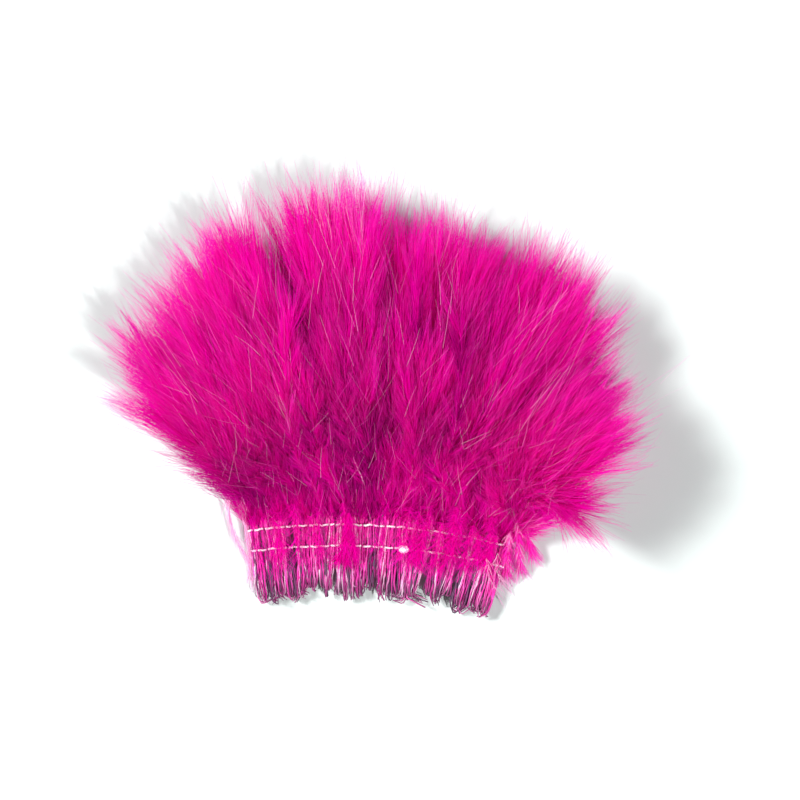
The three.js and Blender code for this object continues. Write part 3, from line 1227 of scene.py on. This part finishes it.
# %% Thread
STITCH = 2.95 * MM
POINTS_PER_STITCH = 24
THREAD_SINK = 0.36 * MM
PLY = 0.18 * MM
DIVE_UNDER = 3.4 * MM
DIVE_BELOW = 1.2 * MM
HOLE_START = 0.86
HOLE_SLOPE = 0.09
DASH_SHIFT = 0.16 * MM
DASH_TILT = 0.5 * MM
THREAD_TONE = 0.7
THREAD_VALUES = STRAND_VALUES | {
    "Step": 0.24 * MM,
    "Sides": 5,
    "Plies": 2,
    "Twist radius": PLY * 0.95,
    "Twist length": 1.1 * MM,
    "Material": white_thread,
}


def row_curve(row):
    """The line of a row of stitches across the band, as a curve through its stitches' middles."""
    boxes = [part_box(f"{row}_stitch_{k}") for k in range(1, TUFTS + 1)]
    middles = [(np.array(a) + np.array(b)) / 2 for a, b in boxes]
    return np.polyfit([m[0] for m in middles], [m[1] for m in middles], 2)


def stitch_row(row, k, curve, upwards):
    """One face of a row on one tuft: dashes from the middle of one column to the next."""
    start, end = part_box(f"{row}_stitch_{k}")
    height = end[2] - THREAD_SINK if upwards else start[2] + THREAD_SINK
    dive = DIVE_UNDER if upwards else -DIVE_BELOW
    count = round((end[0] - start[0]) / STITCH)
    x = np.linspace(start[0], end[0], count * POINTS_PER_STITCH + 1)
    phase = np.linspace(0, count, len(x))
    stitch = np.floor(phase + 0.5).astype(int)
    shift = rng.normal(size=count + 1) * DASH_SHIFT
    tilt = rng.normal(size=count + 1) * DASH_TILT
    wobble = shift[stitch] + tilt[stitch] * (phase - stitch)
    y = np.polyval(curve, x) + wobble * np.cos(math.pi * phase) ** 2
    near_hole = np.clip((np.abs(np.sin(math.pi * phase)) - HOLE_START) / HOLE_SLOPE, 0, 1)
    z = height - dive * near_hole * near_hole * (3 - 2 * near_hole)
    return np.stack([x, y, z], axis=1)


total = 0
for row in ("upper", "lower"):
    curve = row_curve(row)
    for k in range(1, TUFTS + 1):
        faces = [stitch_row(row, k, curve, upwards) for upwards in (True, False)]
        name = f"thread_{row}_{k}"
        lines = [(line, {"thick": PLY, "shade": THREAD_TONE}) for line in faces]
        piece = grown(name, guide_mesh(name, lines), strands, THREAD_VALUES)
        total += finish_piece(piece, f"tuft_{k}", "thread", f"{row}_stitch_{k}")
print("thread:", total, "triangles")

# %% [markdown]
# ## Loose fluff
#
# Down creeps over the sewing: small tufts lie across the rows and hide some stitches, and at both
# ends of the band pale wisps hang free where nothing holds them back. Each is grown by the barb
# tree on short lines of its own. A line goes through a few places beside the feather it belongs
# to, each given in mm: ahead of the upper row, across to the right, and above the table.

# %% Loose tufts
ROW_BEFORE_PLUME = 3 * MM
LOOSE_VALUES = DOWN_VALUES | {
    "Barbs per lock": 12,
    "Width": 0.16 * MM,
    "Flatness": 0.45,
    "Sag": 0.15,
    "Light and shade patches": 0.2,
} | aims(34, 12, 0.5)
PALE = {"Light and shade patches": 0.1, "Tone spread": 0.12, "Material": pale_down}
WIDE = {
    "Width": 0.10 * MM,
    "Swirl": 0.8,
} | aims(66, 50, 0.9)
GROW_FROM = 0.5
LEAST_TUFT_HEIGHT = 0.5 * MM
LOOSE_SEED = 9000


def beside(number, ahead, across, height):
    """A place near a feather: ahead of the upper row, across to its right, and above the table."""
    line, base = centre_lines[number]
    share = base + (ahead - ROW_BEFORE_PLUME) / line_length(line)
    spot = np.array([np.interp(share, SHARES, line[:, axis]) for axis in range(3)])
    nearest = int(round(share * (LINE_POINTS - 1)))
    return (*(spot + sideways(line)[nearest] * across)[:2], height)


def loose_tuft(name, number, bends, barb_count, reach, tone, settings):
    """Down grown on lines through a few places beside one feather."""
    lines = []
    for bend in bends:
        points = [beside(number, *(value * MM for value in place)) for place in bend]
        line = smooth_line(points, SHAFT_POINTS)
        line[:, 2] = np.maximum(line[:, 2], LEAST_TUFT_HEIGHT)
        grow = np.linspace(GROW_FROM, 1, SHAFT_POINTS)
        lines.append((line, {"reach": reach * MM * grow, "shade": tone}))
    values = LOOSE_VALUES | settings | {"Barbs per shaft": barb_count, "Seed": LOOSE_SEED + number}
    piece = grown(name, guide_mesh(name, lines), barbs, values)
    return finish_piece(piece, tuft_of(number), "down")


total = 0
# A dense tuft that hangs over both rows, narrow above and round below.
total += loose_tuft(
    "row_tuft", 9,
    [
        [(8, 0.5, 8.5), (1, 1.0, 7.5), (-5, 1.2, 7), (-9, 1.6, 6)],
        [(5, 2.0, 8), (-1, 1.5, 7.5), (-6, 0.2, 7), (-8, -1.2, 6)],
        [(5, 2.0, 8), (0, 2.6, 7.5), (-5, 3.4, 7), (-7.5, 3.8, 6)],
    ],
    420, 4.5, 0.52,
    aims(55, 30, 0.9),
)
# Thin fluff that creeps over the rows from the plumes above.
# It is thickest over the right half of the band: barbs for each line, by feather.
FLUFF_COUNTS = {2: 90, 4: 110, 6: 140, 9: 60, 13: 90, 16: 260, 18: 330, 20: 330, 22: 300}
FLUFF_REACH = 6.5
FLUFF_TONE = 0.52
for number, count in FLUFF_COUNTS.items():
    bends = []
    for across in (-3, 0, 3):
        down = rng.uniform(3, 8)
        sway = rng.uniform(-1.5, 1.5)
        top = rng.uniform(3, 10)
        upper, over = (top, across, 6 + top / 3), (1, across + sway, 6.8)
        bends.append([upper, over, (-down, across + 1.5 * sway, 5.8)])
    name = f"row_fluff_{number:02d}"
    total += loose_tuft(name, number, bends, count, FLUFF_REACH, FLUFF_TONE, WIDE)
# Pale wisps that hang free beside the left end, in a long open loop.
total += loose_tuft(
    "left_wisps", 1,
    [
        [(17, -3, 9), (10, -5.5, 6), (2, -5.8, 4), (-6, -3.6, 2.5)],
        [(16, -1, 9), (9, -2.0, 6), (0, -2.4, 4), (-7, -2.4, 2.5)],
        [(12, -1, 8), (5, -1.6, 5), (-2, -2.0, 3), (-7, -2.6, 1.5)],
    ],
    130, 10, 1.15,
    PALE | aims(14, 9, 0.9),
)
# Pale down that spreads out past the right end of the rows.
total += loose_tuft(
    "right_wisps", 24,
    [
        [(14, 2, 7), (9, 4, 6), (5, 6, 5), (2, 8, 4)],
        [(10, 1, 7), (5, 3, 6), (1, 4.5, 5), (-3, 6, 3)],
        [(6, 0, 7), (1, 1, 6), (-3, 2, 5), (-6, 3, 3)],
    ],
    380, 6.5, 0.8,
    PALE | aims(48, 24, 0.8),
)
# A few pale hairs caught between the last quill ends.
total += loose_tuft(
    "right_hairs", 23,
    [
        [(-3, -1, 7), (-8, 1.5, 6), (-12, 5, 3)],
        [(-1, 1.5, 7), (-6, 3, 5), (-9, 6, 3)],
    ],
    34, 7, 1.1,
    PALE | aims(36, 14, 1.0),
)
print("loose tufts:", total, "triangles")

# %% [markdown]
# ## Where the lower thread is tied off
#
# In the middle of the band the lower thread ends in a small knot, drawn into a tight ball. It is
# the same two-ply thread, wound on a ball whose turns drift like those of yarn.

# %% Knot
KNOT_RADIUS = 1.0 * MM
KNOT_TURNS = 9
KNOT_DRIFT = 5
KNOT_POINTS = 160
KNOT_WIDE, KNOT_FLAT = 1.3, 0.8
KNOT_SHARE = 0.62
KNOT_RISE = 0.5 * MM
KNOT_TONE = 0.9
winding = np.linspace(0, 1, KNOT_POINTS)
around = winding * KNOT_TURNS * FULL_TURN
tilt = winding * KNOT_DRIFT * math.pi
ball = np.stack(
    [
        np.cos(around) * np.cos(tilt) * KNOT_WIDE,
        np.cos(around) * np.sin(tilt),
        np.sin(around) * KNOT_FLAT,
    ],
    axis=1,
)
lower_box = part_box("lower_stitch_4")
knot_x = lower_box[0][0] + KNOT_SHARE * (lower_box[1][0] - lower_box[0][0])
knot_place = (knot_x, np.polyval(row_curve("lower"), knot_x), lower_box[1][2] + KNOT_RISE)
knot_line = np.array(knot_place) + ball * KNOT_RADIUS
knot_guide = guide_mesh("knot", [(knot_line, {"thick": PLY, "shade": KNOT_TONE})])
knot = grown("thread_knot", knot_guide, strands, THREAD_VALUES)
print("knot:", finish_piece(knot, "tuft_4", "thread"), "triangles")

# %% Counting the shown triangles
things = bpy.context.scene.objects
meshes = [thing.data for thing in things if thing.type == "MESH" and not thing.hide_render]
print("shown triangles:", sum(len(mesh.loop_triangles) for mesh in meshes))
